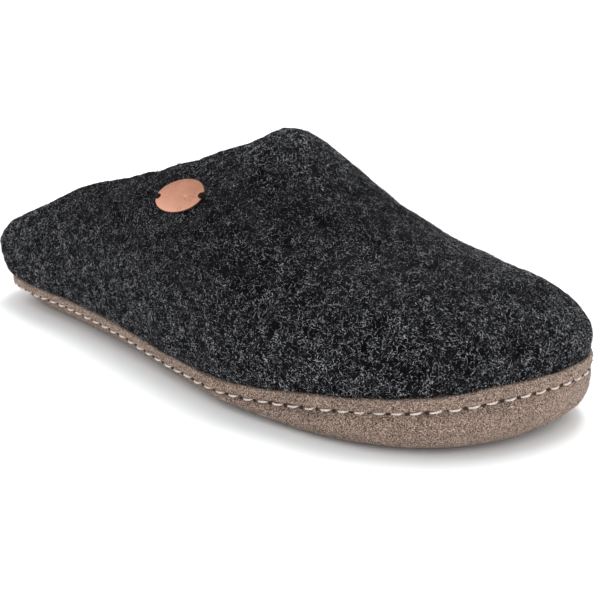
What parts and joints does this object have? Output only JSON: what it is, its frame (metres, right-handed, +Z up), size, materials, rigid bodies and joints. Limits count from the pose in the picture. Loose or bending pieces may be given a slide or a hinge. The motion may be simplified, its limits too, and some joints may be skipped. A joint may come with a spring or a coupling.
{
  "type": "felt slipper",
  "caption": "Felt house slipper for a right foot: a thick felt upper swelling over a stitched suede cup sole, with a felt footbed and an oval metal badge.",
  "frame": {"origin": "on the floor under the middle of the slipper's bounding box", "axes": "+X from heel to toe, +Y to the slipper's left, +Z up"},
  "size_m": [0.2862, 0.1106, 0.1],
  "materials": {
    "felt": "matte wool felt",
    "suede": "brushed suede",
    "footbed": "matte wool felt",
    "copper": "satin copper"
  },
  "bodies": {
    "root": {"upper": "felt", "sole": "suede", "insole": "footbed", "badge": "copper"}
  },
  "joints": []
}
